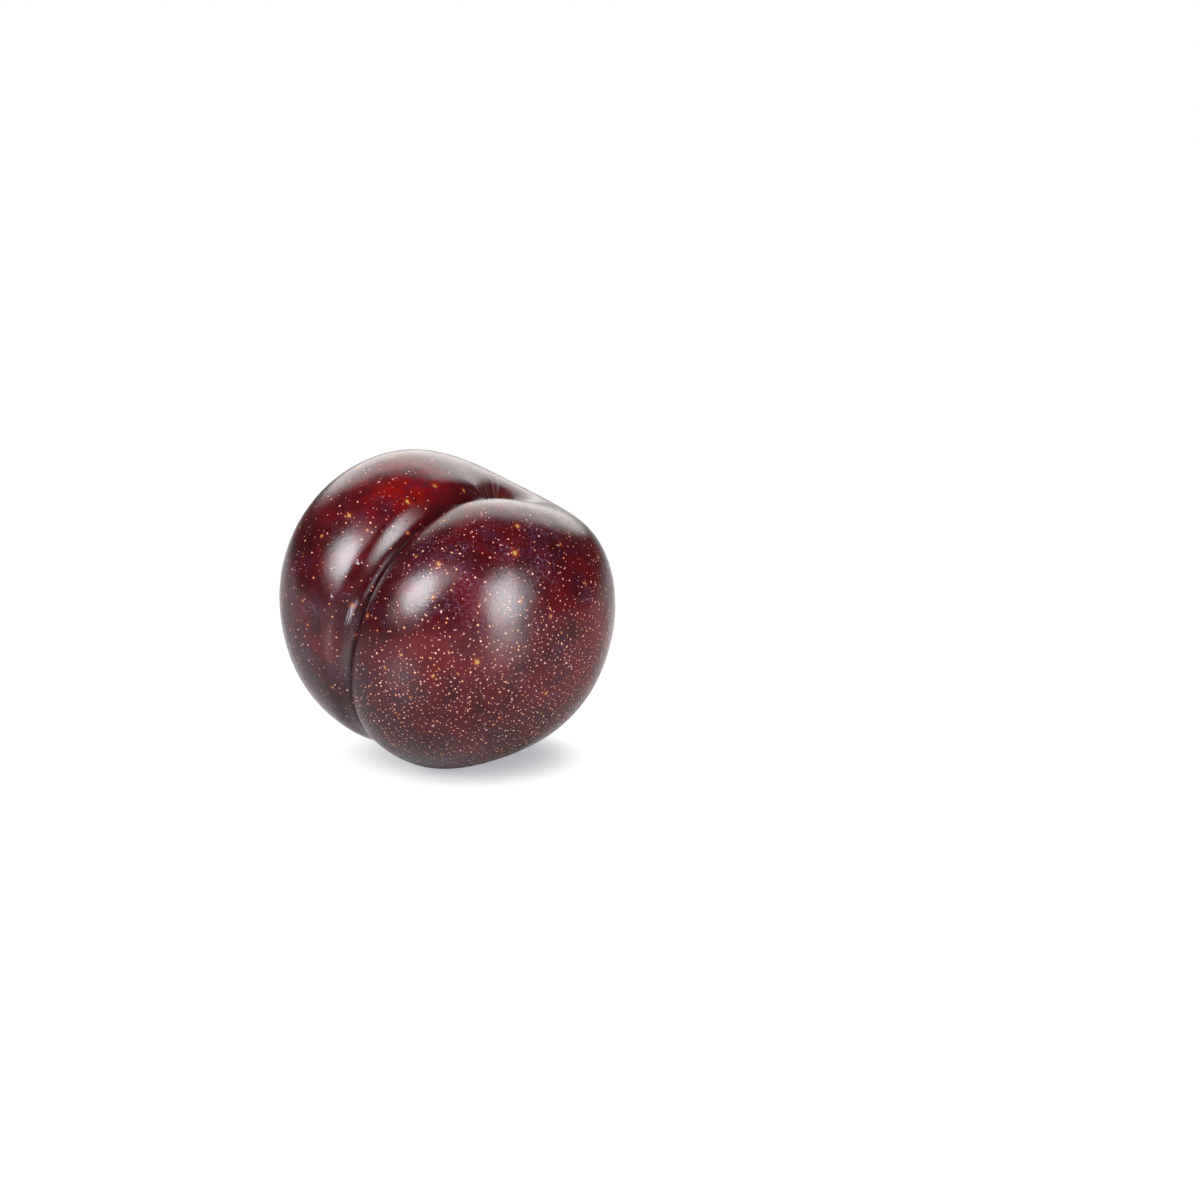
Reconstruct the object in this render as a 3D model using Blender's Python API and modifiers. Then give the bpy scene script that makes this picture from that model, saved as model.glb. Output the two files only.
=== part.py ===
"""A whole plum, as picked, resting near its apex on the small flat spot that its weight presses.

The fruit is one solid. It is shaped in its own frame, where +Z points to the stem, +X out
through the suture and +Y to the near cheek, and is then turned to lie as it does on a table.
The finished part stands on Z = 0 with its box centred over the origin.
"""

import math

import bmesh
import bpy
import numpy as np
from mathutils import Euler, Matrix, Vector

# Sizes from the fruit's middle, in metres. FULLNESS is the exponent that rounds them into one form:
# 2 would be an ellipsoid, and less is leaner between the axes.
HALF_DEPTH = 0.0305
HALF_HEIGHT = 0.0310
NEAR_CHEEK = 0.02965
FAR_CHEEK = 0.03235
BACK_FLATTENING = 0.0006
FULLNESS = 1.945

# The hollow round the stem, the pit at its foot, and the dry scar that the stalk left in the pit
STEM_DIRECTION = (0.0, 0.0, 1.0)
STEM_HOLLOW_DEPTH = 0.0062
STEM_HOLLOW_ANGLE = math.radians(29.5)
PIT_DIRECTION = (0.09, 0.0, 1.0)
PIT_DEPTH = 0.0045
PIT_ANGLE = math.radians(8.5)
SCAR_RADIUS = 0.0018
SCAR_EYE_RADIUS = 0.0008
SCAR_EYE_DEPTH = 0.0003
SCAR_HEIGHT = 0.0005
SCAR_ROOT = 0.0030
SCAR_SIDES = 24
SCAR_SEAT_ANGLE = math.radians(7)

# The suture: a tight crease in the floor of a broad valley, with a hollow along its far wall. They
# start beside the scar, are deepest on the shoulder, and die out past the apex. Each depth is given at
# the shoulder and at the apex, and angles run from the stem (0) through the suture's side (90) to the
# apex (180).
CREASE_DEPTHS = (0.00585, 0.00255)
CREASE_STARTS = (-12, 35)
CREASE_WIDTH_ANGLE = math.radians(7.9)
CREASE_FOLD = 0.715
WALL_HOLLOW_DEPTHS = (0.0018, 0.0005)
WALL_HOLLOW_ANGLE = math.radians(4)
VALLEY_DEPTHS = (0.0049, 0.0016)
VALLEY_STARTS = (-25, 35)
VALLEY_WIDTH_ANGLE = math.radians(26.8)
SUTURE_SHALLOWS = (40, 175)
SUTURE_ENDS = (172, 235)

# A shallow hollow under the near cheek, by the apex
UNDER_HOLLOW_DEPTH = 0.00115
UNDER_HOLLOW_ANGLE = math.radians(20.6)
UNDER_HOLLOW_DIRECTION = (-0.42, 0.55, -0.72)

# How the fruit lies, and how deep its weight has flattened it
LYING_TURN = Euler([math.radians(a) for a in (-17.3, -24.6, -122.2)])
FLAT_SPOT_DEPTH = 0.0007

# Faces round the suture's plane and from cheek to cheek, with more of them near the suture
SEGMENTS = 72
RINGS = 40
RING_CROWDING = 1.35

SKIN_COLOUR = (0.105, 0.014, 0.020, 1.0)
SKIN_ROUGHNESS = 0.28


def smooth_step(value, limits):
    """0 below the first limit, 1 above the second, and smooth between them."""
    share = np.clip((value - limits[0]) / (limits[1] - limits[0]), 0.0, 1.0)
    return share * share * (3.0 - 2.0 * share)


def fruit_form(out):
    """The rounded body with its two unlike cheeks, as a radius for each unit vector in out."""
    x, y, z = out.T
    middle_cheek = (NEAR_CHEEK + FAR_CHEEK) / 2
    cheek = middle_cheek + (NEAR_CHEEK - FAR_CHEEK) / 2 * np.tanh(3.0 * y)
    sum_of_powers = (
        np.abs(x / HALF_DEPTH) ** FULLNESS
        + np.abs(y / cheek) ** FULLNESS
        + np.abs(z / HALF_HEIGHT) ** FULLNESS
    )
    flattened = 1.0 - BACK_FLATTENING / HALF_DEPTH * np.minimum(x, 0.0) ** 2
    return sum_of_powers ** (-1.0 / FULLNESS) * flattened


def spot(out, centre, angle):
    """1 in the direction centre, falling softly to 0 round it over the angle."""
    centre = np.array(centre) / np.linalg.norm(centre)
    away = np.arccos(np.clip(out @ centre, -1.0, 1.0))
    return np.exp(-((away / angle) ** 2))


def suture_depth(out, depths, starts):
    """A depth that follows the suture's run in the plane y = 0, as a share of the half depth."""
    along = np.degrees(np.arctan2(out[:, 0], out[:, 2]))
    along = np.where(along < -90.0, along + 360.0, along)
    depth = depths[0] + (depths[1] - depths[0]) * smooth_step(along, SUTURE_SHALLOWS)
    depth = depth * smooth_step(along, starts) * (1.0 - smooth_step(along, SUTURE_ENDS))
    return depth / HALF_DEPTH


def suture(out):
    """The share of the radius that is left in the suture's crease, wall hollow and valley."""
    aside = np.arcsin(np.clip(out[:, 1], -1.0, 1.0))
    crease = np.exp(-((np.abs(aside) / CREASE_WIDTH_ANGLE) ** CREASE_FOLD))
    crease = crease * suture_depth(out, CREASE_DEPTHS, CREASE_STARTS)
    wall = np.exp(-((aside / WALL_HOLLOW_ANGLE + 1.0) ** 2))
    crease = crease + wall * suture_depth(out, WALL_HOLLOW_DEPTHS, CREASE_STARTS)
    crease = crease * (1.0 - spot(out, PIT_DIRECTION, SCAR_SEAT_ANGLE))
    valley = np.exp(-((aside / VALLEY_WIDTH_ANGLE) ** 2))
    valley = valley * suture_depth(out, VALLEY_DEPTHS, VALLEY_STARTS)
    return (1.0 - crease) * (1.0 - valley)


def skin_points(out):
    """Points of the skin, in the fruit's own frame, in the directions out."""
    radius = fruit_form(out) * suture(out)
    for centre, depth, angle in (
        (STEM_DIRECTION, STEM_HOLLOW_DEPTH, STEM_HOLLOW_ANGLE),
        (PIT_DIRECTION, PIT_DEPTH, PIT_ANGLE),
        (UNDER_HOLLOW_DIRECTION, UNDER_HOLLOW_DEPTH, UNDER_HOLLOW_ANGLE),
    ):
        radius = radius * (1.0 - depth / HALF_DEPTH * spot(out, centre, angle))
    return out * radius[:, None]


def crowded_to_suture(out):
    """Moves the rings of a sphere with its poles on Y towards its equator, the suture's plane."""
    aside = np.arcsin(np.clip(out[:, 1], -1.0, 1.0))
    moved = np.sign(aside) * math.pi / 2 * (np.abs(aside) / (math.pi / 2)) ** RING_CROWDING
    level = np.linalg.norm(out[:, [0, 2]], axis=1)
    shrink = np.cos(moved) / np.maximum(level, 1e-9)
    return np.stack([out[:, 0] * shrink, np.sin(moved), out[:, 2] * shrink], axis=1)


def skin_mesh():
    """A sphere whose poles are the cheeks and whose equator is the suture's plane, drawn to the form."""
    mesh = bpy.data.meshes.new("plum")
    shape = bmesh.new()
    bmesh.ops.create_uvsphere(
        shape,
        u_segments=SEGMENTS,
        v_segments=RINGS,
        radius=1.0,
        matrix=Matrix.Rotation(math.pi / 2, 4, "X"),
    )
    out = np.array([vertex.co for vertex in shape.verts])
    for vertex, point in zip(shape.verts, skin_points(crowded_to_suture(out))):
        vertex.co = point
    bmesh.ops.recalc_face_normals(shape, faces=shape.faces)
    shape.to_mesh(mesh)
    shape.free()
    mesh.shade_smooth()
    return mesh


def lying_matrix(mesh):
    """Turns the fruit to lie, centres its box over the origin, and sinks it by the flat spot's depth."""
    turn = LYING_TURN.to_matrix()
    points = np.array([turn @ vertex.co for vertex in mesh.vertices])
    low, high = points.min(axis=0), points.max(axis=0)
    middle = (low + high) / 2
    place = Matrix.Translation((-middle[0], -middle[1], -low[2] - FLAT_SPOT_DEPTH))
    return place @ turn.to_4x4()


def scar_seat():
    """The place of the stem scar on the floor of the pit, square to the floor there."""
    spread = SCAR_RADIUS / HALF_HEIGHT
    steps = ((spread, 0), (-spread, 0), (0, spread), (0, -spread))
    out = np.array([(PIT_DIRECTION[0] + x, y, 1.0) for x, y in steps])
    points = skin_points(out / np.linalg.norm(out, axis=1)[:, None])
    up = Vector(points[0] - points[1]).cross(Vector(points[2] - points[3]))
    return Matrix.Translation(points.mean(axis=0)) @ up.to_track_quat("Z", "X").to_matrix().to_4x4()


def stem_scar(collection, lying):
    """The corky ring that the stalk broke away from, rooted in the floor of the pit."""
    rim = (SCAR_EYE_RADIUS + SCAR_RADIUS) / 2
    profile = [
        (0.0, SCAR_HEIGHT - SCAR_EYE_DEPTH),
        (SCAR_EYE_RADIUS, SCAR_HEIGHT - SCAR_EYE_DEPTH),
        (rim, SCAR_HEIGHT),
        (SCAR_RADIUS, SCAR_HEIGHT / 2),
        (SCAR_RADIUS, -SCAR_ROOT),
        (0.0, -SCAR_ROOT),
    ]
    mesh = bpy.data.meshes.new("stem_scar_form")
    mesh.from_pydata(
        [(x, 0.0, z) for x, z in profile],
        [(i, i + 1) for i in range(len(profile) - 1)],
        [],
    )
    scar = bpy.data.objects.new("stem_scar_form", mesh)
    collection.objects.link(scar)
    scar.matrix_world = lying @ scar_seat()
    turned = scar.modifiers.new("Turned", "SCREW")
    turned.steps = turned.render_steps = SCAR_SIDES
    turned.use_merge_vertices = True
    turned.merge_threshold = 0.00001
    return scar


def table_block(collection):
    """The block under Z = 0 whose top cuts the flat spot."""
    size = 4 * HALF_DEPTH
    bpy.ops.mesh.primitive_cube_add(size=size, location=(0.0, 0.0, -size / 2))
    block = bpy.context.object
    block.name = "table_block"
    for home in list(block.users_collection):
        home.objects.unlink(block)
    collection.objects.link(block)
    return block


def skin_material():
    material = bpy.data.materials.new("plum_skin")
    material.use_nodes = True
    surface = material.node_tree.nodes["Principled BSDF"]
    surface.inputs["Base Color"].default_value = SKIN_COLOUR
    surface.inputs["Roughness"].default_value = SKIN_ROUGHNESS
    surface.inputs["Metallic"].default_value = 0.0
    return material


def join_form(body, form, operation):
    form.display_type = "WIRE"
    form.hide_render = True
    modifier = body.modifiers.new(form.name, "BOOLEAN")
    modifier.operation = operation
    modifier.object = form
    modifier.solver = "EXACT"


def main():
    for thing in list(bpy.data.objects):
        bpy.data.objects.remove(thing)
    scene = bpy.context.scene.collection
    parts = bpy.data.collections.new("plum_parts")
    forms = bpy.data.collections.new("plum_forms")
    scene.children.link(parts)
    scene.children.link(forms)

    mesh = skin_mesh()
    plum = bpy.data.objects.new("plum", mesh)
    parts.objects.link(plum)
    plum.data.materials.append(skin_material())
    plum.matrix_world = lying_matrix(mesh)

    join_form(plum, stem_scar(forms, plum.matrix_world), "UNION")
    join_form(plum, table_block(forms), "DIFFERENCE")


main()
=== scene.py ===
import math

import bpy
import numpy as np
from mathutils import Euler, Matrix, Vector, noise


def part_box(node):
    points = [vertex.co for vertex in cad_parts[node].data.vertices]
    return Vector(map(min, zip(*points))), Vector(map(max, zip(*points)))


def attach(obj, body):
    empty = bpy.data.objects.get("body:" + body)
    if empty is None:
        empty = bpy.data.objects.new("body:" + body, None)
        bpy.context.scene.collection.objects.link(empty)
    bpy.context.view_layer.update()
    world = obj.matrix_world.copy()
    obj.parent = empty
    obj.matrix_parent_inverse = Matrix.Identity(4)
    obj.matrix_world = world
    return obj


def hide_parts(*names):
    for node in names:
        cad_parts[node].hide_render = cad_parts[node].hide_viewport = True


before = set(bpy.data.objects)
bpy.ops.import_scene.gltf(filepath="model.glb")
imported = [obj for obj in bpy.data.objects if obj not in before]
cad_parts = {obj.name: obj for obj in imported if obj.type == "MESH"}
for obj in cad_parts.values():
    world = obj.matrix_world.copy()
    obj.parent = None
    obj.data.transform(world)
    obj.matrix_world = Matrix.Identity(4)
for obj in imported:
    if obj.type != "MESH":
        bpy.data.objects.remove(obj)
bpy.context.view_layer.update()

# The skin: one wax-coated skin, drawn tight over the flesh, that grew in one piece with it. The
# suture's groove runs down one side, from the hollow round the stem to past the apex, and the fruit
# lies on the spot that its weight has flattened. It is made at the sizes of the CAD plum, finer.
HALF_DEPTH = 0.0305
HALF_HEIGHT = 0.0310
NEAR_CHEEK = 0.02965
FAR_CHEEK = 0.03235
CHEEK_CHANGE = 3.0
BACK_FLATTENING = 0.0006
FULLNESS = 1.945
STEM_DIRECTION = (0.0, 0.0, 1.0)
STEM_HOLLOW_DEPTH = 0.0062
STEM_HOLLOW_ANGLE = math.radians(29.5)
PIT_DIRECTION = (0.09, 0.0, 1.0)
PIT_DEPTH = 0.0045
PIT_ANGLE = math.radians(8.5)
SCAR_SEAT_ANGLE = math.radians(7)
CREASE_DEPTHS = (0.00585, 0.00255)
CREASE_STARTS = (-12, 35)
CREASE_WIDTH_ANGLE = math.radians(7.9)
CREASE_FOLD = 0.715
WALL_HOLLOW_DEPTHS = (0.0018, 0.0005)
WALL_HOLLOW_ANGLE = math.radians(4)
VALLEY_DEPTHS = (0.0049, 0.0016)
VALLEY_STARTS = (-25, 35)
VALLEY_WIDTH_ANGLE = math.radians(26.8)
SUTURE_SHALLOWS = (40, 175)
SUTURE_ENDS = (172, 235)
UNDER_HOLLOW_DEPTH = 0.00115
UNDER_HOLLOW_ANGLE = math.radians(20.6)
UNDER_HOLLOW_DIRECTION = (-0.42, 0.55, -0.72)
LYING_TURN = Euler([math.radians(a) for a in (-17.3, -24.6, -122.2)]).to_matrix()

# Fine forms that only the skin has
SWELLING_HEIGHT = 0.00014
SWELLING_SPACING = 0.013
DIMPLE_HEIGHT = 0.00003
DIMPLE_SPACING = 0.0028
APEX_POINT_DEPTH = 0.0004
APEX_POINT_ANGLE = math.radians(2.2)
FLAT_SPOT_ROUNDING = 0.00025
SKIN_SEGMENTS = 384
SKIN_RINGS = 250
RING_CROWDING = 1.35


def smooth_step(value, low, high):
    """0 below low, 1 above high, and smooth between them."""
    share = np.clip((value - low) / (high - low), 0.0, 1.0)
    return share * share * (3.0 - 2.0 * share)


def angle_from(out, centre):
    """The angle between each unit vector in out and the direction centre."""
    centre = np.array(centre) / np.linalg.norm(centre)
    return np.arccos(np.clip(out @ centre, -1.0, 1.0))


def suture_depth(out, depths, starts):
    """How deep the suture's crease or valley is at each direction's place along it, in metres."""
    along = np.degrees(np.arctan2(out[:, 0], out[:, 2]))
    along = np.where(along < -90.0, along + 360.0, along)
    depth = depths[0] + (depths[1] - depths[0]) * smooth_step(along, *SUTURE_SHALLOWS)
    return depth * smooth_step(along, *starts) * (1.0 - smooth_step(along, *SUTURE_ENDS))


def skin_radius(out):
    """The fruit's radius in each direction, in its own frame: +Z to the stem, +X out of the suture."""
    x, y, z = out.T
    middle_cheek = (NEAR_CHEEK + FAR_CHEEK) / 2
    cheek = middle_cheek + (NEAR_CHEEK - FAR_CHEEK) / 2 * np.tanh(CHEEK_CHANGE * y)
    sum_of_powers = (
        np.abs(x / HALF_DEPTH) ** FULLNESS
        + np.abs(y / cheek) ** FULLNESS
        + np.abs(z / HALF_HEIGHT) ** FULLNESS
    )
    radius = sum_of_powers ** (-1.0 / FULLNESS)
    radius = radius * (1.0 - BACK_FLATTENING / HALF_DEPTH * np.minimum(x, 0.0) ** 2)
    for centre, depth, angle in (
        (STEM_DIRECTION, STEM_HOLLOW_DEPTH, STEM_HOLLOW_ANGLE),
        (PIT_DIRECTION, PIT_DEPTH, PIT_ANGLE),
        (UNDER_HOLLOW_DIRECTION, UNDER_HOLLOW_DEPTH, UNDER_HOLLOW_ANGLE),
        ((0, 0, -1), APEX_POINT_DEPTH, APEX_POINT_ANGLE),
    ):
        sunk = np.exp(-((angle_from(out, centre) / angle) ** 2))
        radius = radius * (1.0 - depth / HALF_DEPTH * sunk)
    aside = np.arcsin(np.clip(y, -1.0, 1.0))
    crease = np.exp(-((np.abs(aside) / CREASE_WIDTH_ANGLE) ** CREASE_FOLD))
    crease = crease * suture_depth(out, CREASE_DEPTHS, CREASE_STARTS)
    wall = np.exp(-((aside / WALL_HOLLOW_ANGLE + 1.0) ** 2))
    crease = crease + wall * suture_depth(out, WALL_HOLLOW_DEPTHS, CREASE_STARTS)
    crease = crease * (1.0 - np.exp(-((angle_from(out, PIT_DIRECTION) / SCAR_SEAT_ANGLE) ** 2)))
    valley = np.exp(-((aside / VALLEY_WIDTH_ANGLE) ** 2))
    valley = valley * suture_depth(out, VALLEY_DEPTHS, VALLEY_STARTS)
    return radius * (1.0 - crease / HALF_DEPTH) * (1.0 - valley / HALF_DEPTH)


def swellings(out):
    """Slow rises and falls of the skin, and a faint small dimpling, in metres."""
    height = np.empty(len(out))
    for place, direction in enumerate(out):
        point = Vector(direction) * HALF_DEPTH
        height[place] = SWELLING_HEIGHT * noise.noise(point / SWELLING_SPACING)
        height[place] += DIMPLE_HEIGHT * noise.noise(point / DIMPLE_SPACING)
    return height


bpy.ops.object.select_all(action="DESELECT")
bpy.ops.mesh.primitive_uv_sphere_add(
    segments=SKIN_SEGMENTS,
    ring_count=SKIN_RINGS,
    radius=1.0,
    rotation=(math.pi / 2, 0.0, 0.0),
)
bpy.ops.object.transform_apply(location=False, rotation=True, scale=False)
skin = bpy.context.object
skin.name = skin.data.name = "plum_skin"

# The sphere's poles are the cheeks. Its rings are moved towards the suture, where the form is tight.
corners = np.empty(len(skin.data.vertices) * 3)
skin.data.vertices.foreach_get("co", corners)
out = corners.reshape(-1, 3)
aside = np.arcsin(np.clip(out[:, 1], -1.0, 1.0))
crowded = np.sign(aside) * math.pi / 2 * (np.abs(aside) / (math.pi / 2)) ** RING_CROWDING
level = np.cos(crowded) / np.maximum(np.hypot(out[:, 0], out[:, 2]), 1e-9)
out = np.stack([out[:, 0] * level, np.sin(crowded), out[:, 2] * level], axis=1)

grown = out * (skin_radius(out) + swellings(out))[:, None]
lying = grown @ np.array(LYING_TURN).T
box_low, box_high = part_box("plum")
fruit_middle = Vector((
    (box_low.x + box_high.x - lying[:, 0].min() - lying[:, 0].max()) / 2,
    (box_low.y + box_high.y - lying[:, 1].min() - lying[:, 1].max()) / 2,
    box_high.z - lying[:, 2].max(),
))
lying = lying + np.array(fruit_middle)

# The weight presses the lowest skin flat, with a soft rim.
near_table = np.clip(lying[:, 2], -FLAT_SPOT_ROUNDING, FLAT_SPOT_ROUNDING)
pressed = (near_table + FLAT_SPOT_ROUNDING) ** 2 / (4.0 * FLAT_SPOT_ROUNDING)
lying[:, 2] = np.where(lying[:, 2] < FLAT_SPOT_ROUNDING, pressed, lying[:, 2])
skin.data.vertices.foreach_set("co", lying.ravel())
skin.data.update()
bpy.ops.object.shade_smooth()

# Zones of the skin, which its finish follows. Each place is a direction in the fruit's own frame, with
# the angle in degrees over which it fades out. A blush also has a strength. The scuff has its place
# along the groove and aside of it, with its half length and half width, all in degrees.
STEM_ZONE_ANGLE = 20.0
APEX_ZONE_ANGLE = 2.6
GROOVE_SHADE_ANGLE_NEAR = 12.0
GROOVE_SHADE_ANGLE_FAR = 6.5
GROOVE_SHADE_GAIN = 1.6
BLUSHES = (
    ((0.71, -0.22, 0.66), 16, 1.0),
    ((0.84, -0.30, 0.42), 13, 0.35),
    ((-0.17, 0.95, 0.24), 24, 0.50),
    ((0.57, 0.78, -0.30), 24, 0.30),
    ((-0.70, -0.55, 0.20), 30, 0.5),
)
CROWDED_DOTS = (((0.05, 0.97, -0.22), 38), ((0.50, 0.55, -0.67), 26), ((-0.60, 0.50, -0.62), 45))
# Places where the bloom lies thicker. The third lies between the near cheek's two softbox highlights,
# where its dust is also a painted violet haze round them.
DUST_AND_HAZE_PLACES = (
    ((0.48, 0.69, 0.54), 13),
    ((0.92, 0.33, 0.23), 12),
    ((0.74, 0.65, 0.12), 17),
    ((0.62, -0.45, -0.64), 20),
    ((-0.75, 0.1, 0.65), 34),
)
FEATHERS = (((0.30, -0.17, 0.94), 4.5), ((0.03, -0.20, 0.98), 6.5), ((-0.45, 0.25, 0.86), 11))
FLECKS = (((0.985, -0.165, 0.0), 1.5), ((0.93, -0.22, -0.28), 0.9))
SCUFF_ALONG, SCUFF_ASIDE = 110.0, -4.9
SCUFF_HALF_LENGTH, SCUFF_HALF_WIDTH = 5.0, 0.9

# Where the dots are fewer: round the stem, in the groove, and all over the far cheek
DOTS_GONE_AT_STEM, DOTS_BACK_ANGLE = 0.9, 40.0
DOTS_GONE_IN_GROOVE, DOTS_BACK_ASIDE = 0.7, 6.0
DOTS_ON_FAR_CHEEK = 0.5
DOTS_CHANGE = 4.0


def zone(name, values, kind="FLOAT", field="value"):
    """Keeps values of the skin's corners under a name that its material reads."""
    layer = skin.data.attributes.new(name, kind, "POINT")
    layer.data.foreach_set(field, np.ascontiguousarray(values, dtype=np.float32).ravel())


def spot(centre, angle):
    """1 in the direction centre, falling softly to 0 round it over the angle in degrees."""
    return np.exp(-((np.degrees(angle_from(out, centre)) / angle) ** 2))


zone("near_stem", spot(PIT_DIRECTION, STEM_ZONE_ANGLE))
zone("near_apex", spot((0, 0, -1), APEX_ZONE_ANGLE))
blush = sum(strength * spot(centre, angle) for centre, angle, strength in BLUSHES)
zone("blush", np.clip(blush, 0.0, 1.0))
for name, places in (
    ("crowded", CROWDED_DOTS),
    ("dust_and_haze", DUST_AND_HAZE_PLACES),
    ("feathered", FEATHERS),
    ("flecked", FLECKS),
):
    zone(name, np.clip(sum(spot(*place) for place in places), 0.0, 1.0))

groove_share = suture_depth(out, CREASE_DEPTHS, CREASE_STARTS) / CREASE_DEPTHS[0]
aside = np.degrees(np.arcsin(np.clip(out[:, 1], -1.0, 1.0)))
# Painted shade: this zone darkens the skin's colour towards near black in and beside the crease.
groove_angle = np.where(aside > 0.0, GROOVE_SHADE_ANGLE_NEAR, GROOVE_SHADE_ANGLE_FAR)
painted_groove_shade = np.exp(-((aside / groove_angle) ** 2))
zone("painted_groove_shade", np.clip(groove_share * GROOVE_SHADE_GAIN, 0.0, 1.0) * painted_groove_shade)

along_groove = np.degrees(np.arctan2(out[:, 0], out[:, 2]))
scuff_run = (along_groove - SCUFF_ALONG) / SCUFF_HALF_LENGTH
scuff_rise = (aside - SCUFF_ASIDE) / SCUFF_HALF_WIDTH
zone("scuffed", np.exp(-(scuff_run ** 4) - scuff_rise ** 4))

dot_room = 1.0 - DOTS_GONE_AT_STEM * spot(PIT_DIRECTION, DOTS_BACK_ANGLE)
near_cheek = np.tanh(DOTS_CHANGE * out[:, 1])
dot_room = dot_room * ((1.0 + DOTS_ON_FAR_CHEEK) / 2 + (1.0 - DOTS_ON_FAR_CHEEK) / 2 * near_cheek)
in_crease = np.exp(-((aside / DOTS_BACK_ASIDE) ** 2)) * groove_share
zone("dot_room", dot_room * (1.0 - DOTS_GONE_IN_GROOVE * in_crease))

# A flat map of each cheek, true in area, that spreads the dots evenly. Its third value says how much
# the map is squeezed there. The grain runs from stem to apex.
squeeze = np.sqrt((1.0 + np.abs(out[:, 1])) / 2)
cheek_map = (out[:, 0] / squeeze * HALF_DEPTH, out[:, 2] / squeeze * HALF_DEPTH, squeeze)
zone("cheek_map", np.stack(cheek_map, axis=1), "FLOAT_VECTOR", "vector")
round_stem = np.arctan2(out[:, 1], out[:, 0] - PIT_DIRECTION[0] * out[:, 2])
grain = (np.cos(round_stem), np.sin(round_stem), angle_from(out, PIT_DIRECTION))
zone("grain", np.stack(grain, axis=1), "FLOAT_VECTOR", "vector")

# Colours of the skin's layers, from the ground up
# The darkest skin colour also serves as the painted shade in the groove.
DARK_SKIN_AND_GROOVE_SHADE = (0.024, 0.0011, 0.0018, 1.0)
WINE_SKIN = (0.073, 0.0024, 0.0032, 1.0)
RED_GROUND = (0.160, 0.0024, 0.0018, 1.0)
PURPLE_SHADE = (0.040, 0.0065, 0.0170, 1.0)
BLOOM_DUST = (0.200, 0.120, 0.210, 1.0)
WAX_PALE = (0.480, 0.440, 0.500, 1.0)
DOT_HALO = (0.240, 0.0230, 0.0080, 1.0)
DOT_TAN = (0.760, 0.440, 0.170, 1.0)
DOT_PINK = (0.900, 0.660, 0.620, 1.0)
DOT_YELLOW = (0.380, 0.230, 0.050, 1.0)
STEM_STREAK = (0.300, 0.130, 0.040, 1.0)


def add_node(tree, kind, settings=None, **inputs):
    """Adds a node. An input is a number, a colour or another node's socket.

    In an input's name _ stands for a space, and i0, i1 and so on name it by its place.
    """
    made = tree.nodes.new(kind)
    for name, value in (settings or {}).items():
        setattr(made, name, value)
    for name, value in inputs.items():
        place = int(name[1:]) if name[1:].isdigit() else name.replace("_", " ")
        socket = made.inputs[place]
        if isinstance(value, bpy.types.NodeSocket):
            tree.links.new(value, socket)
        else:
            socket.default_value = value
    return made


def sum_of(tree, operation, first, second=0.5, third=0.5):
    """A Math node's result."""
    made = add_node(tree, "ShaderNodeMath", {"operation": operation}, i0=first, i1=second, i2=third)
    return made.outputs[0]


def vector_sum(tree, operation, **inputs):
    """A Vector Math node's result: a number for a length or a dot product, and a vector otherwise."""
    made = add_node(tree, "ShaderNodeVectorMath", {"operation": operation}, **inputs)
    return made.outputs["Value" if operation in ("LENGTH", "DOT_PRODUCT") else "Vector"]


def ramp_of(tree, value, low, high, bottom=0.0, top=1.0):
    """value eased from bottom at low to top at high."""
    made = add_node(
        tree, "ShaderNodeMapRange", {"interpolation_type": "SMOOTHSTEP"},
        Value=value, From_Min=low, From_Max=high, To_Min=bottom, To_Max=top,
    )
    return made.outputs["Result"]


def layer_over(tree, under, over, cover):
    """The colour over laid on the colour under by the mask cover."""
    made = add_node(tree, "ShaderNodeMix", {"data_type": "RGBA"})
    for place, value in ((0, cover), (6, under), (7, over)):
        if isinstance(value, bpy.types.NodeSocket):
            tree.links.new(value, made.inputs[place])
        else:
            made.inputs[place].default_value = value
    return made.outputs[2]


def noise_of(tree, vector, spacing, detail=2.0, roughness=0.5):
    """Soft noise whose lumps are about spacing metres apart."""
    made = add_node(
        tree, "ShaderNodeTexNoise", None,
        Vector=vector, Scale=1.0 / spacing, Detail=detail, Roughness=roughness,
    )
    return made.outputs["Fac"]


def new_group(name, takes, gives):
    """An empty shader node group and the sockets inside it.

    An input is given as (name, kind, value), and an output as (name, kind).
    """
    group = bpy.data.node_groups.new(name, "ShaderNodeTree")
    for title, kind, value in takes:
        socket = group.interface.new_socket(title, in_out="INPUT", socket_type="NodeSocket" + kind)
        if value is not None:
            socket.default_value = value
    for title, kind in gives:
        group.interface.new_socket(title, in_out="OUTPUT", socket_type="NodeSocket" + kind)
    taken = group.nodes.new("NodeGroupInput").outputs
    return group, taken, group.nodes.new("NodeGroupOutput").inputs


# Lenticels, the skin's breathing pores: corky dots, no two alike, each in a cell of its own. Distances
# on the cheek's map are set right for how it is squeezed, so that each dot is round on the fruit.
DOT_EDGE_SCALE = 4200.0
DOT_SCATTER = 0.85
DOT_CORE = 0.45
HALO_CORE, HALO_REACH = 0.6, 2.6
SMALLEST_DOT, DOT_GROWTH = 0.55, 0.80

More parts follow.
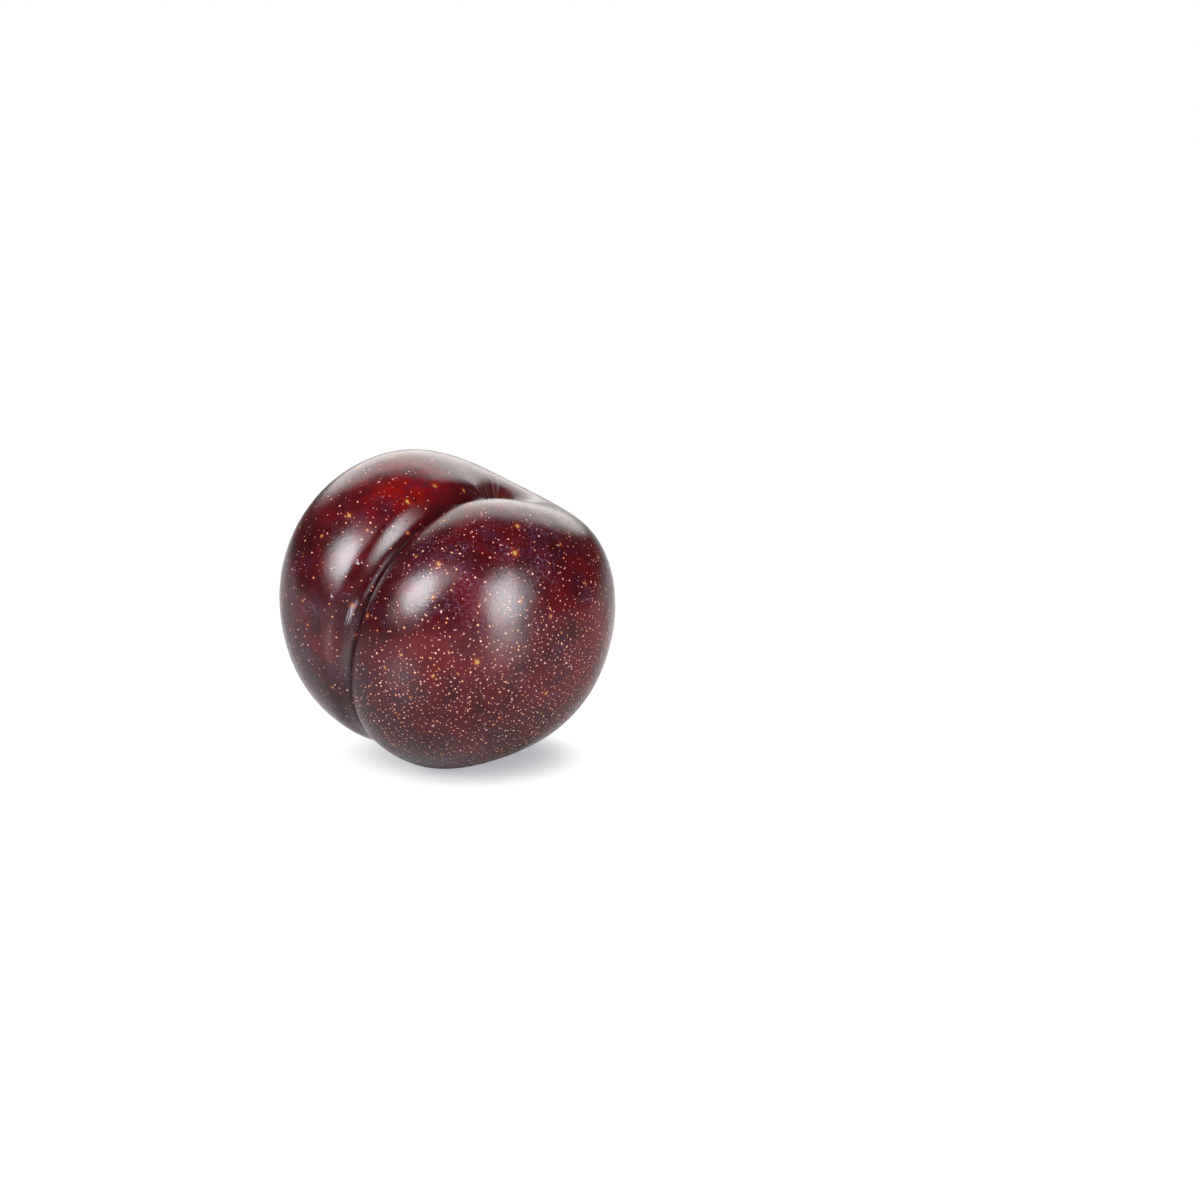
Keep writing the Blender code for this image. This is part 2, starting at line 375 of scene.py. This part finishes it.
lenticels, taken, given = new_group(
    "lenticels",
    (
        ("Map", "Vector", None), ("Place", "Vector", None), ("Cell", "Float", 0.0015),
        ("Size", "Float", 0.00013), ("Ragged", "Float", 0.0001), ("Amount", "Float", 1.0),
    ),
    (("Dot", "Float"), ("Halo", "Float"), ("Shade", "Float")),
)
squeeze = add_node(lenticels, "ShaderNodeSeparateXYZ", None, Vector=taken["Map"]).outputs["Z"]
edge = add_node(
    lenticels, "ShaderNodeTexNoise", None, Vector=taken["Place"], Scale=DOT_EDGE_SCALE, Detail=1.0
).outputs["Color"]
edge = vector_sum(lenticels, "SUBTRACT", i0=edge, i1=(0.5, 0.5, 0.5))
edge = vector_sum(lenticels, "SCALE", i0=edge, Scale=taken["Ragged"])
level = vector_sum(lenticels, "MULTIPLY_ADD", i0=taken["Map"], i1=(1.0, 1.0, 0.0), i2=edge)
level = vector_sum(lenticels, "MULTIPLY", i0=level, i1=(1.0, 1.0, 0.0))
cells = add_node(
    lenticels, "ShaderNodeTexVoronoi", {"voronoi_dimensions": "2D"},
    Vector=level, Scale=sum_of(lenticels, "DIVIDE", 1.0, taken["Cell"]), Randomness=DOT_SCATTER,
)
gap = vector_sum(lenticels, "SUBTRACT", i0=level, i1=cells.outputs["Position"])
outward = vector_sum(lenticels, "NORMALIZE", i0=level)
along = vector_sum(lenticels, "DOT_PRODUCT", i0=gap, i1=outward)
whole = vector_sum(lenticels, "DOT_PRODUCT", i0=gap, i1=gap)
across = sum_of(lenticels, "SUBTRACT", whole, sum_of(lenticels, "MULTIPLY", along, along))
across = sum_of(lenticels, "MULTIPLY", across, sum_of(lenticels, "MULTIPLY", squeeze, squeeze))
along = sum_of(lenticels, "DIVIDE", along, squeeze)
reach = sum_of(lenticels, "SQRT", sum_of(lenticels, "MULTIPLY_ADD", along, along, across))
draw = add_node(lenticels, "ShaderNodeSeparateColor", None, Color=cells.outputs["Color"])
mostly_small = sum_of(lenticels, "MULTIPLY", draw.outputs[0], draw.outputs[0])
mostly_small = sum_of(lenticels, "MULTIPLY_ADD", mostly_small, DOT_GROWTH, SMALLEST_DOT)
radius = sum_of(lenticels, "MULTIPLY", taken["Size"], mostly_small)
there = sum_of(lenticels, "LESS_THAN", draw.outputs[1], taken["Amount"])
dot = ramp_of(lenticels, reach, sum_of(lenticels, "MULTIPLY", radius, DOT_CORE), radius, 1.0, 0.0)
halo_core = sum_of(lenticels, "MULTIPLY", radius, HALO_CORE)
halo_rim = sum_of(lenticels, "MULTIPLY", radius, HALO_REACH)
halo = ramp_of(lenticels, reach, halo_core, halo_rim, 1.0, 0.0)
for title, value in (
    ("Dot", sum_of(lenticels, "MULTIPLY", dot, there)),
    ("Halo", sum_of(lenticels, "MULTIPLY", halo, there)),
    ("Shade", draw.outputs[2]),
):
    lenticels.links.new(value, given[title])

# Bloom, the dusty wax on a picked plum: it stays in patches, broken by fine grains and by rubbing
BLOOM_GRAIN_SCALE = 2400.0
BLOOM_EDGE, BLOOM_FULL = 0.78, 0.80
BLOOM_BETWEEN_GRAINS = 0.35

bloom, taken, given = new_group(
    "bloom",
    (("Vector", "Vector", None), ("Patch", "Float", 0.009), ("Amount", "Float", 0.5)),
    (("Cover", "Float"),),
)
patches = add_node(
    bloom, "ShaderNodeTexNoise", None, Vector=taken["Vector"],
    Scale=sum_of(bloom, "DIVIDE", 1.0, taken["Patch"]), Detail=5.0, Roughness=0.6,
)
grains = add_node(
    bloom, "ShaderNodeTexNoise", None, Vector=taken["Vector"], Scale=BLOOM_GRAIN_SCALE, Detail=2.0
)
patchy = ramp_of(
    bloom, patches.outputs["Fac"], sum_of(bloom, "SUBTRACT", BLOOM_EDGE, taken["Amount"]), BLOOM_FULL
)
grainy = ramp_of(bloom, grains.outputs["Fac"], 0.30, 0.72, BLOOM_BETWEEN_GRAINS, 1.0)
bloom.links.new(sum_of(bloom, "MULTIPLY", patchy, grainy), given["Cover"])

finish = bpy.data.materials.new("waxy_plum_skin")
finish.use_nodes = True
tree = finish.node_tree
place = add_node(tree, "ShaderNodeTexCoord").outputs["Object"]
zones = {}
for name in (
    "near_stem", "near_apex", "painted_groove_shade", "blush", "dot_room",
    "crowded", "dust_and_haze", "feathered", "flecked", "scuffed",
):
    zones[name] = add_node(tree, "ShaderNodeAttribute", {"attribute_name": name}).outputs["Fac"]
along_grain = add_node(tree, "ShaderNodeAttribute", {"attribute_name": "grain"}).outputs["Vector"]
cheek_map = add_node(tree, "ShaderNodeAttribute", {"attribute_name": "cheek_map"}).outputs["Vector"]

# The ground: wine and near black in clouds, red where the ground colour shows, purple in fine drifts,
# with darker fibres that run from stem to apex and turn tan round the scar. The groove is darkened to
# near black as painted shade.
CLOUD_SPACING, DRIFT_SPACING, EMBER_SPACING = 0.0075, 0.0050, 0.0036
FIBRE_STRETCH = (26.0, 26.0, 2.2)
DRIFT_COVER = 0.8
FIBRE_COVER = 0.20
STEM_STREAK_SHARPNESS, STEM_STREAK_COVER = 9.0, 0.6
GROOVE_SHADE_COVER = 0.90

clouds = ramp_of(tree, noise_of(tree, place, CLOUD_SPACING, 7.0, 0.66), 0.36, 0.66)
ground = layer_over(tree, DARK_SKIN_AND_GROOVE_SHADE, WINE_SKIN, clouds)
drift = ramp_of(tree, noise_of(tree, place, DRIFT_SPACING, 8.0, 0.74), 0.48, 0.66, 0.0, DRIFT_COVER)
ground = layer_over(tree, ground, PURPLE_SHADE, drift)
ember = ramp_of(tree, noise_of(tree, place, EMBER_SPACING, 6.0, 0.66), 0.30, 0.62)
ground = layer_over(tree, ground, RED_GROUND, sum_of(tree, "MULTIPLY", zones["blush"], ember))
streaked = add_node(tree, "ShaderNodeMapping", None, Vector=along_grain, Scale=FIBRE_STRETCH)
fibres = ramp_of(tree, noise_of(tree, streaked.outputs[0], 1.0, 3.0, 0.6), 0.42, 0.72)
ground = layer_over(tree, ground, DARK_SKIN_AND_GROOVE_SHADE, sum_of(tree, "MULTIPLY", fibres, FIBRE_COVER))
by_stem = sum_of(tree, "POWER", zones["near_stem"], STEM_STREAK_SHARPNESS)
tan_share = sum_of(tree, "MULTIPLY", sum_of(tree, "MULTIPLY", by_stem, fibres), STEM_STREAK_COVER)
ground = layer_over(tree, ground, STEM_STREAK, tan_share)
# Painted shade: the groove darkened to near black.
ground = layer_over(tree, ground, DARK_SKIN_AND_GROOVE_SHADE, sum_of(tree, "MULTIPLY", zones["painted_groove_shade"], GROOVE_SHADE_COVER))

# The dots: small and fine ones all over, more of them where they crowd, and a few large yellow ones,
# each in a reddish halo. Their sizes are in metres, and the shares say how many cells hold a dot.
SMALL_DOTS = {"Cell": 0.00165, "Size": 0.00015, "Ragged": 0.00010}
SMALL_DOTS_OPEN, SMALL_DOTS_CROWDED = 0.50, 0.98
FINE_DOTS = {"Cell": 0.00105, "Size": 0.00012, "Ragged": 0.00010}
FINE_DOTS_OPEN, FINE_DOTS_CROWDED = 0.28, 0.90
LARGE_DOTS = {"Cell": 0.0070, "Size": 0.00042, "Ragged": 0.00060, "Amount": 0.45}
HALO_COVER, LARGE_HALO_COVER = 0.40, 0.50

small_share = ramp_of(tree, zones["crowded"], 0.0, 0.7, SMALL_DOTS_OPEN, SMALL_DOTS_CROWDED)
small = add_node(
    tree, "ShaderNodeGroup", {"node_tree": lenticels}, Map=cheek_map, Place=place,
    Amount=sum_of(tree, "MULTIPLY", zones["dot_room"], small_share), **SMALL_DOTS,
).outputs
fine_share = ramp_of(tree, zones["crowded"], 0.1, 1.0, FINE_DOTS_OPEN, FINE_DOTS_CROWDED)
fine = add_node(
    tree, "ShaderNodeGroup", {"node_tree": lenticels}, Map=cheek_map, Place=place,
    Amount=sum_of(tree, "MULTIPLY", zones["dot_room"], fine_share), **FINE_DOTS,
).outputs
large = add_node(
    tree, "ShaderNodeGroup", {"node_tree": lenticels}, Map=cheek_map, Place=place, **LARGE_DOTS
).outputs
halo = sum_of(tree, "MAXIMUM", small["Halo"], fine["Halo"])
ground = layer_over(tree, ground, DOT_HALO, sum_of(tree, "MULTIPLY", halo, HALO_COVER))
ground = layer_over(tree, ground, DOT_HALO, sum_of(tree, "MULTIPLY", large["Halo"], LARGE_HALO_COVER))

# Bloom lies in fine grains: thin all over, thicker in its places, and as feathered strokes by the stem.
# One wall of the groove has a dry scuff, where it rubbed, and two flecks of dry wax lie beside it.
GRAIN_SPACING = 0.00055
DUST_PATCH = 0.0060
DUST_EVERYWHERE, DUST_IN_PLACES = 0.27, 0.25
DUST_COVER = 0.50
FEATHER_STRETCH, FEATHER_COVER = (4.5, 4.5, 1.3), 0.22
SCRATCH_STRETCH, SCRATCH_COVER = (210.0, 210.0, 9.0), 0.75
CRUMB_SPACING, CRUMB_CONTRAST, CRUMB_OFFSET = 0.00042, 2.2, -0.75

grains = ramp_of(tree, noise_of(tree, place, GRAIN_SPACING, 4.0, 0.75), 0.46, 0.66)
# Real bloom, and between the near cheek's highlights also a painted haze round them.
dust = add_node(
    tree, "ShaderNodeGroup", {"node_tree": bloom}, Vector=place, Patch=DUST_PATCH,
    Amount=sum_of(tree, "MULTIPLY_ADD", zones["dust_and_haze"], DUST_IN_PLACES, DUST_EVERYWHERE),
).outputs["Cover"]
dust = sum_of(tree, "MULTIPLY", dust, grains)
ground = layer_over(tree, ground, BLOOM_DUST, sum_of(tree, "MULTIPLY", dust, DUST_COVER))
feathers = add_node(tree, "ShaderNodeMapping", None, Vector=along_grain, Scale=FEATHER_STRETCH)
feathers = ramp_of(tree, noise_of(tree, feathers.outputs[0], 1.0, 3.0, 0.55), 0.44, 0.70)
feathers = sum_of(tree, "MULTIPLY", feathers, zones["feathered"])
feathers = sum_of(tree, "MULTIPLY", feathers, FEATHER_COVER)
scratches = add_node(tree, "ShaderNodeMapping", None, Vector=along_grain, Scale=SCRATCH_STRETCH)
scratches = ramp_of(tree, noise_of(tree, scratches.outputs[0], 1.0, 3.0, 0.6), 0.46, 0.64)
scratches = sum_of(tree, "MULTIPLY", scratches, zones["scuffed"])
scratches = sum_of(tree, "MULTIPLY", scratches, SCRATCH_COVER)
crumbs = noise_of(tree, place, CRUMB_SPACING, 2.0)
crumbs = sum_of(tree, "MULTIPLY_ADD", crumbs, CRUMB_CONTRAST, CRUMB_OFFSET)
fleck = ramp_of(tree, sum_of(tree, "MULTIPLY", zones["flecked"], crumbs), 0.22, 0.42)
pale = sum_of(tree, "MAXIMUM", sum_of(tree, "MAXIMUM", feathers, scratches), fleck)
ground = layer_over(tree, ground, WAX_PALE, pale)

# The dots' own colours lie over all of it, and so does the dry point at the apex.
LARGE_DOT_COVER = 0.85
APEX_COVER = 0.8

for layer in (small, fine):
    dot_colour = layer_over(tree, DOT_TAN, DOT_PINK, layer["Shade"])
    ground = layer_over(tree, ground, dot_colour, layer["Dot"])
ground = layer_over(tree, ground, DOT_YELLOW, sum_of(tree, "MULTIPLY", large["Dot"], LARGE_DOT_COVER))
ground = layer_over(tree, ground, STEM_STREAK, sum_of(tree, "MULTIPLY", zones["near_apex"], APEX_COVER))

# The wax is glossy. Grains, dust and dry wax take its gloss away, and it stands in tiny bumps.
WAX_ROUGHNESS, ROUGHNESS_DRIFT, ROUGHNESS_SPACING = 0.13, 0.08, 0.0030
GRAIN_ROUGHNESS, DUST_ROUGHNESS, DRY_WAX_ROUGHNESS, DOT_ROUGHNESS = 0.07, 0.12, 0.30, 0.06
WAX_IOR = 1.48
BUMP_SPACING, BUMP_HEIGHT, BUMP_STRENGTH = 0.00036, 0.00006, 0.9
BUMP_SHARE, DOT_BUMP_SHARE = 0.6, 0.4

dots = sum_of(tree, "MAXIMUM", sum_of(tree, "MAXIMUM", small["Dot"], fine["Dot"]), large["Dot"])
drifting = noise_of(tree, place, ROUGHNESS_SPACING, 3.0)
roughness = sum_of(tree, "MULTIPLY_ADD", drifting, ROUGHNESS_DRIFT, WAX_ROUGHNESS)
for mask, added in (
    (grains, GRAIN_ROUGHNESS),
    (dust, DUST_ROUGHNESS),
    (pale, DRY_WAX_ROUGHNESS),
    (dots, DOT_ROUGHNESS),
):
    roughness = sum_of(tree, "MULTIPLY_ADD", mask, added, roughness)
relief = noise_of(tree, place, BUMP_SPACING, 4.0, 0.7)
dot_relief = sum_of(tree, "MULTIPLY", dots, DOT_BUMP_SHARE)
relief = sum_of(tree, "MULTIPLY_ADD", relief, BUMP_SHARE, dot_relief)
bumps = add_node(
    tree, "ShaderNodeBump", None, Height=relief, Strength=BUMP_STRENGTH, Distance=BUMP_HEIGHT
)

surface = tree.nodes["Principled BSDF"]
tree.links.new(ground, surface.inputs["Base Color"])
tree.links.new(roughness, surface.inputs["Roughness"])
tree.links.new(bumps.outputs["Normal"], surface.inputs["Normal"])
surface.inputs["IOR"].default_value = WAX_IOR
skin.data.materials.append(finish)

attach(skin, "root")
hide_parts("plum")

# The stem scar: the dry corky ring that the stalk broke away from, with the ends of its fibres in the
# eye. It sits tight on the floor of the pit, and grew in one piece with the skin.
SCAR_RADIUS = 0.0018
SCAR_EYE_RADIUS = 0.0009
SCAR_RIM_HEIGHT = 0.00050
SCAR_EYE_HEIGHT = 0.00018
SCAR_ROOT = 0.0012
SCAR_EYE_FLAT = 0.7
SCAR_RAGGEDNESS, RAGGED_LOBES = 0.07, 2.2
FIBRE_COUNT = 11
FIBRE_HEIGHT = 0.00010
FIBRE_RADIUS = 0.055
FIBRES_REACH = 0.42
SUNFLOWER_TURN = 2.39996
CRACK_HEIGHT, CRACK_LOBES, CRACK_RINGS = 0.00009, 9.0, 2.5
CORK_DARK = (0.085, 0.040, 0.022, 1.0)
CORK_PALE = (0.360, 0.225, 0.115, 1.0)
CORK_ROUGHNESS = 0.82
CORK_PATCH = 0.00055
GRIT_SPACING, GRIT_HEIGHT, GRIT_STRENGTH = 0.00016, 0.00006, 0.7

bpy.ops.object.select_all(action="DESELECT")
bpy.ops.mesh.primitive_uv_sphere_add(segments=120, ring_count=96, radius=1.0)
scar = bpy.context.object
scar.name = scar.data.name = "stem_scar"

# The upper half is spread out into the ring, and the lower half is its root. They meet in a round edge.
for vertex in scar.data.vertices:
    level = math.hypot(vertex.co.x, vertex.co.y)
    turn = math.atan2(vertex.co.y, vertex.co.x)
    if vertex.co.z < -1e-6:
        vertex.co = (vertex.co.x * SCAR_RADIUS, vertex.co.y * SCAR_RADIUS, vertex.co.z * SCAR_ROOT)
        continue
    reach = math.asin(min(level, 1.0)) / (math.pi / 2)
    across, along = math.cos(turn), math.sin(turn)
    ragged = noise.noise(Vector((RAGGED_LOBES * across, RAGGED_LOBES * along, 4.0)))
    ragged = 1.0 + SCAR_RAGGEDNESS * ragged
    eye = SCAR_EYE_RADIUS / SCAR_RADIUS * ragged
    rim = (1.0 + eye) / 2
    if reach < rim:
        climb = float(smooth_step(reach, eye * SCAR_EYE_FLAT, rim))
        height = SCAR_EYE_HEIGHT + (SCAR_RIM_HEIGHT - SCAR_EYE_HEIGHT) * climb
    else:
        height = SCAR_RIM_HEIGHT * (1.0 - float(smooth_step(reach, rim, 1.0)))
    for fibre in range(FIBRE_COUNT):
        where = fibre * SUNFLOWER_TURN
        far = FIBRES_REACH * math.sqrt((fibre + 0.5) / FIBRE_COUNT)
        gap = math.hypot(
            reach * across - far * math.cos(where),
            reach * along - far * math.sin(where),
        )
        height += FIBRE_HEIGHT * math.exp(-((gap / FIBRE_RADIUS) ** 2))
    cracks = noise.noise(Vector((CRACK_LOBES * across, CRACK_LOBES * along, CRACK_RINGS * reach)))
    height += CRACK_HEIGHT * cracks * math.sin(math.pi * reach)
    flat = reach * SCAR_RADIUS * (ragged if reach < 0.999 else 1.0)
    vertex.co = (flat * across, flat * along, height)

# Its seat is square to the pit's floor, by four points of the floor under its rim.
spread = SCAR_RADIUS / HALF_HEIGHT
seat = np.array([
    (PIT_DIRECTION[0] + x, y, 1.0)
    for x, y in ((spread, 0), (-spread, 0), (0, spread), (0, -spread))
])
seat = seat / np.linalg.norm(seat, axis=1)[:, None]
seat = seat * skin_radius(seat)[:, None]
up = Vector(seat[0] - seat[1]).cross(Vector(seat[2] - seat[3]))
to_world = Matrix.Translation(fruit_middle) @ LYING_TURN.to_4x4()
to_seat = Matrix.Translation(seat.mean(axis=0)) @ up.to_track_quat("Z", "X").to_matrix().to_4x4()
scar.data.transform(to_world @ to_seat)
bpy.ops.object.shade_smooth()

cork = bpy.data.materials.new("dry_scar_cork")
cork.use_nodes = True
tree = cork.node_tree
place = add_node(tree, "ShaderNodeTexCoord").outputs["Object"]
weathered = ramp_of(tree, noise_of(tree, place, CORK_PATCH, 4.0, 0.65), 0.34, 0.66)
surface = tree.nodes["Principled BSDF"]
tree.links.new(layer_over(tree, CORK_DARK, CORK_PALE, weathered), surface.inputs["Base Color"])
surface.inputs["Roughness"].default_value = CORK_ROUGHNESS
grit = add_node(
    tree, "ShaderNodeBump", None,
    Height=noise_of(tree, place, GRIT_SPACING, 3.0), Strength=GRIT_STRENGTH, Distance=GRIT_HEIGHT,
)
tree.links.new(grit.outputs["Normal"], surface.inputs["Normal"])
scar.data.materials.append(cork)

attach(scar, "root")

# The floor: a plain white sheet that glows evenly white to the camera, with a painted shadow right
# under the fruit, greyed where the fruit is close above it.
# The fruit sees it as a glossy sheet, greyer close by as painted shade. It can be looked through from
# below.
FLOOR_SIZE = 2.4
SHEET_SHADED_CLOSE = (0.47, 0.47, 0.48, 1.0)
SHEET_AWAY = (0.76, 0.76, 0.77, 1.0)
CLOSE, AWAY = 0.10, 0.34
SHEET_ROUGHNESS = 0.20
PAINTED_SHADOW_REACH, PAINTED_SHADOW_SAMPLES = 0.0105, 12
PAINTED_SHADOW_LEAN = {"X": -0.34, "Y": -0.42, "Z": 0.84}
PAINTED_SHADOW_GREY = (0.38, 0.38, 0.41, 1.0)
OVEREXPOSED = (1.05, 1.05, 1.05, 1.0)

bpy.ops.object.select_all(action="DESELECT")
bpy.ops.mesh.primitive_plane_add(size=FLOOR_SIZE, location=(0.0, 0.0, 0.0))
floor = bpy.context.object
floor.name = floor.data.name = "white_floor"
paper = bpy.data.materials.new("white_paper")
paper.use_nodes = True
tree = paper.node_tree
sheet = tree.nodes["Principled BSDF"]
# Painted shade: the sheet's colour is greyer close to the fruit.
shade_from_fruit = add_node(tree, "ShaderNodeTexCoord").outputs["Object"]
shade_from_fruit = ramp_of(tree, vector_sum(tree, "LENGTH", i0=shade_from_fruit), CLOSE, AWAY)
tree.links.new(layer_over(tree, SHEET_SHADED_CLOSE, SHEET_AWAY, shade_from_fruit), sheet.inputs["Base Color"])
sheet.inputs["Roughness"].default_value = SHEET_ROUGHNESS
# Painted shadow: the camera's white glow is greyed by ambient occlusion that leans towards the left
# softbox.
painted_shadow_tilt = add_node(tree, "ShaderNodeCombineXYZ", None, **PAINTED_SHADOW_LEAN).outputs[0]
painted_shadow_ao = add_node(
    tree, "ShaderNodeAmbientOcclusion", {"samples": PAINTED_SHADOW_SAMPLES},
    Distance=PAINTED_SHADOW_REACH, Normal=painted_shadow_tilt,
).outputs["AO"]
painted_shadow_colour = layer_over(tree, PAINTED_SHADOW_GREY, OVEREXPOSED, ramp_of(tree, painted_shadow_ao, 0.05, 0.80))
glow = add_node(tree, "ShaderNodeEmission", None, Color=painted_shadow_colour, Strength=1.0).outputs[0]
to_camera = add_node(tree, "ShaderNodeLightPath").outputs["Is Camera Ray"]
from_below = add_node(tree, "ShaderNodeNewGeometry").outputs["Backfacing"]
shown = add_node(tree, "ShaderNodeMixShader", None, i0=to_camera, i1=sheet.outputs[0], i2=glow)
clear = add_node(tree, "ShaderNodeBsdfTransparent").outputs[0]
shown = add_node(tree, "ShaderNodeMixShader", None, i0=from_below, i1=shown.outputs[0], i2=clear)
tree.links.new(shown.outputs[0], tree.nodes["Material Output"].inputs["Surface"])
floor.data.materials.append(paper)

# The studio: a softbox on the left with its bounce, one in front on the right and a wide one behind, in
# a dim white room. Each has its outline, its azimuth from the camera's side towards the right, its
# elevation, distance, width, height and radiance, how far its even middle reaches, and its tint. The
# cloth over each is even in the middle and fades to its edge.
COOL, MILD, WARM = (0.95, 0.96, 1.0), (0.97, 0.97, 1.0), (1.0, 0.975, 0.95)
SOFTBOXES = (
    ("left_softbox", "ELLIPSE", -54, 32, 1.2, 0.95, 0.98, 15.0, 0.19, COOL),
    ("left_bounce", "ELLIPSE", -30, 45, 1.2, 0.85, 0.50, 3.5, 0.10, COOL),
    ("right_softbox", "ELLIPSE", 40, 17, 1.2, 0.82, 1.10, 13.3, 0.18, MILD),
    ("back_softbox", "RECTANGLE", 180, 32, 1.3, 1.85, 1.50, 2.3, 0.42, WARM),
)
CLOTH_EDGE = 0.5
ROOM_GLOW = 0.05

for name, outline, azimuth, elevation, distance, width, height, radiance, plateau, tint in SOFTBOXES:
    azimuth, elevation = math.radians(azimuth), math.radians(elevation)
    aim = Vector((
        math.sin(azimuth) * math.cos(elevation),
        -math.cos(azimuth) * math.cos(elevation),
        math.sin(elevation),
    ))
    lamp = bpy.data.lights.new(name, "AREA")
    lamp.shape = outline
    lamp.size, lamp.size_y = width, height
    lamp.energy = math.pi * width * height * radiance
    lamp.color = tint
    lamp.use_nodes = True
    tree = lamp.node_tree
    on_cloth = add_node(tree, "ShaderNodeNewGeometry").outputs["Parametric"]
    centred = vector_sum(tree, "SUBTRACT", i0=on_cloth, i1=(0.5, 0.5, 0.0))
    glow = ramp_of(tree, vector_sum(tree, "LENGTH", i0=centred), plateau, CLOTH_EDGE, 1.0, 0.0)
    tree.links.new(glow, tree.nodes["Emission"].inputs["Strength"])
    box = bpy.data.objects.new(name, lamp)
    bpy.context.scene.collection.objects.link(box)
    box.location = fruit_middle + aim * distance
    box.rotation_euler = aim.to_track_quat("Z", "Y").to_euler()
    box.visible_camera = False

room = bpy.data.worlds.new("white_room")
bpy.context.scene.world = room
room.use_nodes = True
tree = room.node_tree
tree.nodes.clear()
to_camera = add_node(tree, "ShaderNodeLightPath").outputs["Is Camera Ray"]
seen = ramp_of(tree, to_camera, 0.0, 1.0, ROOM_GLOW, 1.0)
walls = add_node(tree, "ShaderNodeBackground", None, Color=(1.0, 1.0, 1.0, 1.0), Strength=seen)
tree.links.new(walls.outputs[0], add_node(tree, "ShaderNodeOutputWorld").inputs["Surface"])

# The camera, at the photograph's angle, with the fruit at the photograph's place and size
LENS = 100.0
SENSOR = 36.0
NEAREST, FARTHEST = 0.01, 20.0
PHOTO_SIZE = 1200
FRUIT_PIXEL = (451.2, 606.2)
SIGHT_LENGTH = 0.600
CAMERA_TILT = math.radians(12)

sight_up = Vector((0.0, math.sin(CAMERA_TILT), math.cos(CAMERA_TILT)))
sight_back = Vector((0.0, -math.cos(CAMERA_TILT), math.sin(CAMERA_TILT)))
pixel = SIGHT_LENGTH * SENSOR / LENS / PHOTO_SIZE
eye = bpy.data.cameras.new("camera")
eye.lens, eye.sensor_width = LENS, SENSOR
eye.clip_start, eye.clip_end = NEAREST, FARTHEST
camera = bpy.data.objects.new("camera", eye)
bpy.context.scene.collection.objects.link(camera)
camera.location = (
    fruit_middle
    + Vector((1.0, 0.0, 0.0)) * (PHOTO_SIZE / 2 - FRUIT_PIXEL[0]) * pixel
    + sight_up * (FRUIT_PIXEL[1] - PHOTO_SIZE / 2) * pixel
    + sight_back * SIGHT_LENGTH
)
camera.rotation_euler = (math.pi / 2 - CAMERA_TILT, 0.0, 0.0)
bpy.context.scene.camera = camera
bpy.context.scene.view_settings.view_transform = "Standard"
